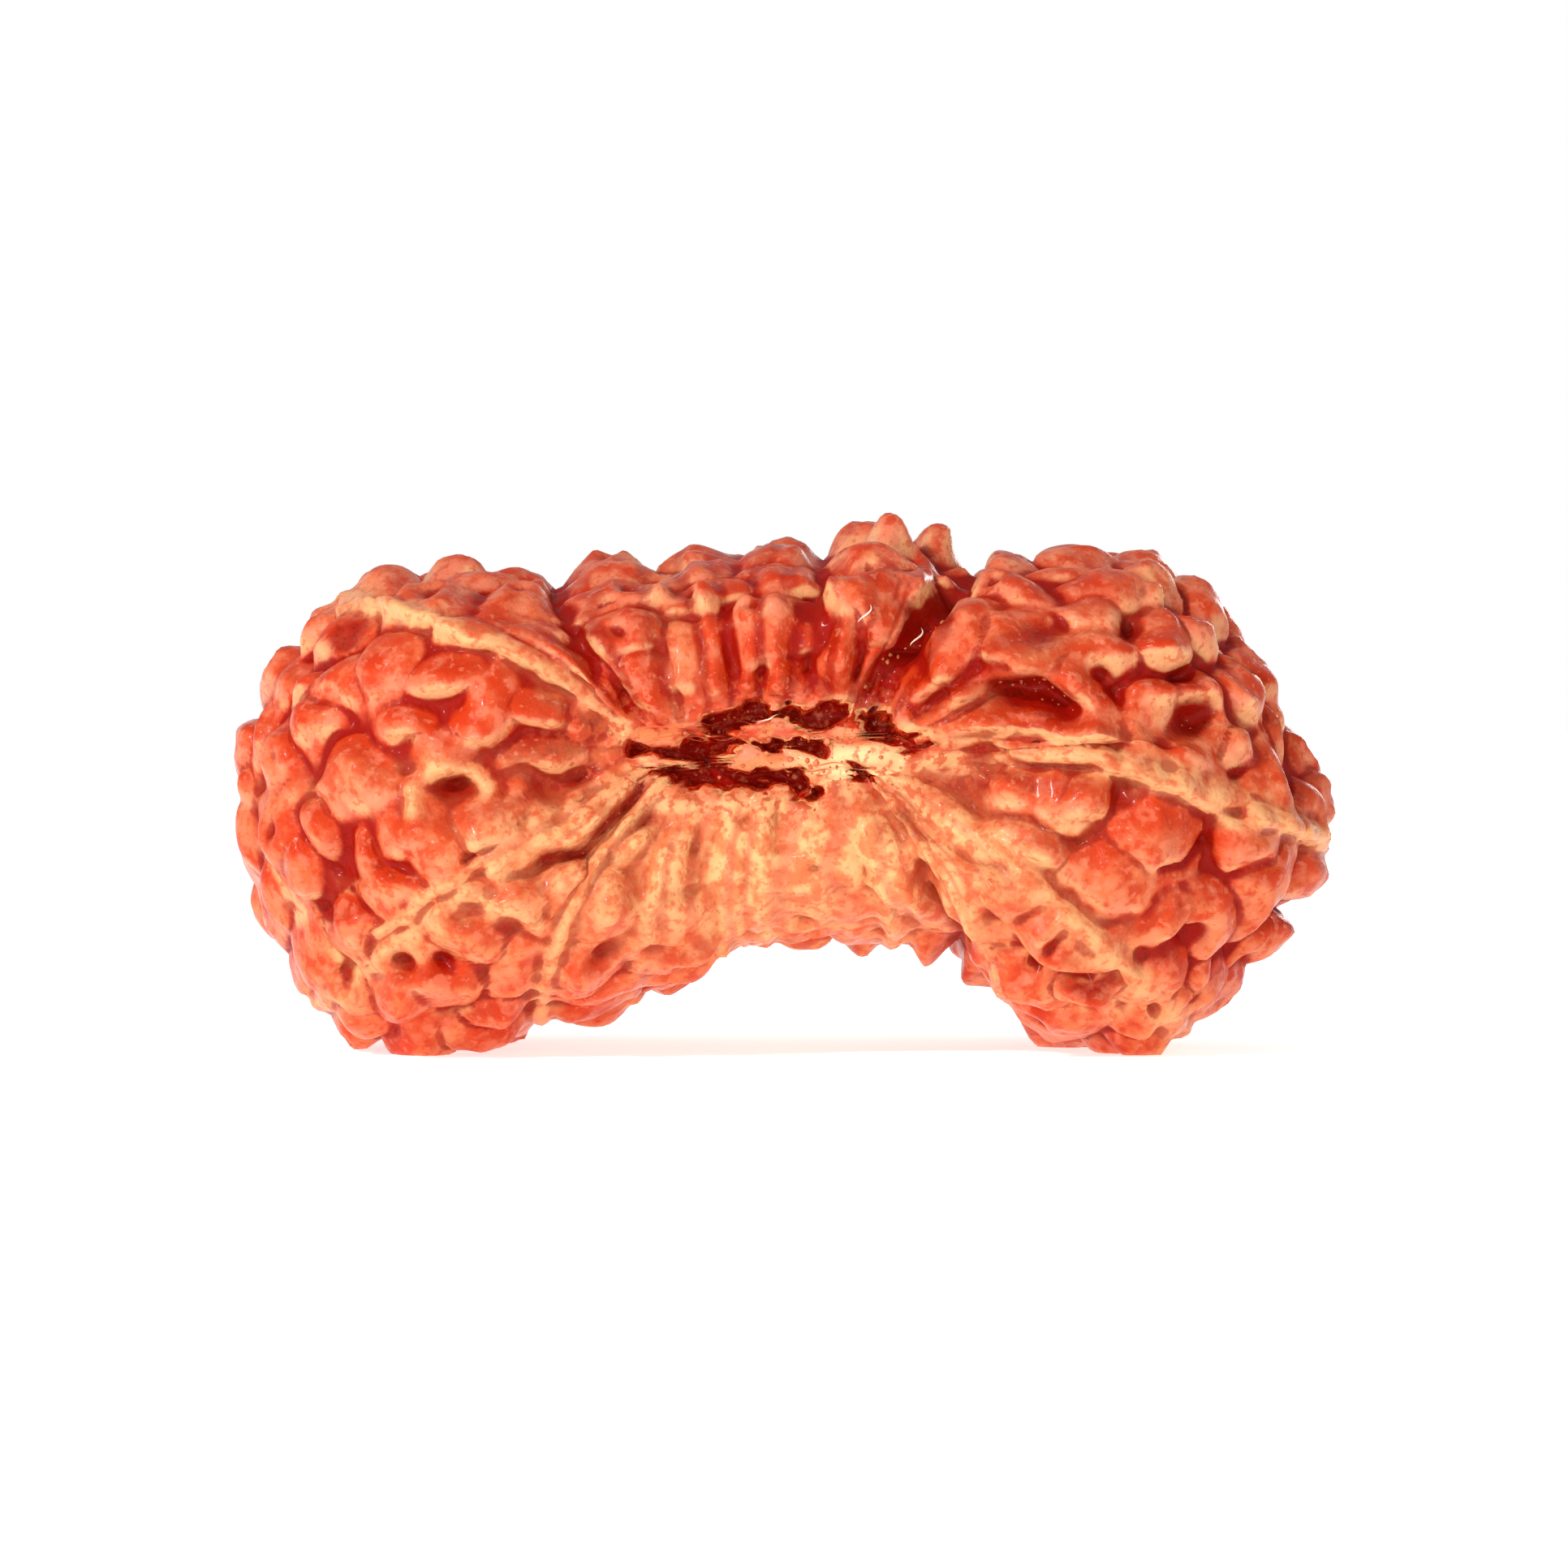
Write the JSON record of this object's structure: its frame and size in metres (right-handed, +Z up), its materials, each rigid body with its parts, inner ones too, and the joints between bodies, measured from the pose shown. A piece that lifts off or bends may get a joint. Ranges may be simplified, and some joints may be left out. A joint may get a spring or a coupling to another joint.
{
  "type": "rudraksha seed",
  "caption": "Whole dried rudraksha seed of the wide kidney-shaped kind, with knobbly lobes, raised face lines and a torn slit at each pole, resting on its two lobes.",
  "frame": {"origin": "on the surface it rests on, under the middle of the seed's box", "axes": "+X along the seed's length, +Z up, -Y out of the pole whose slit the picture shows"},
  "size_m": [0.038, 0.0226, 0.0184],
  "materials": {
    "seed_shell": "semi-gloss, waxed, red-orange knobs over cream low ground and dark red clefts"
  },
  "bodies": {
    "root": {"rudraksha_seed": "seed_shell"}
  },
  "joints": []
}
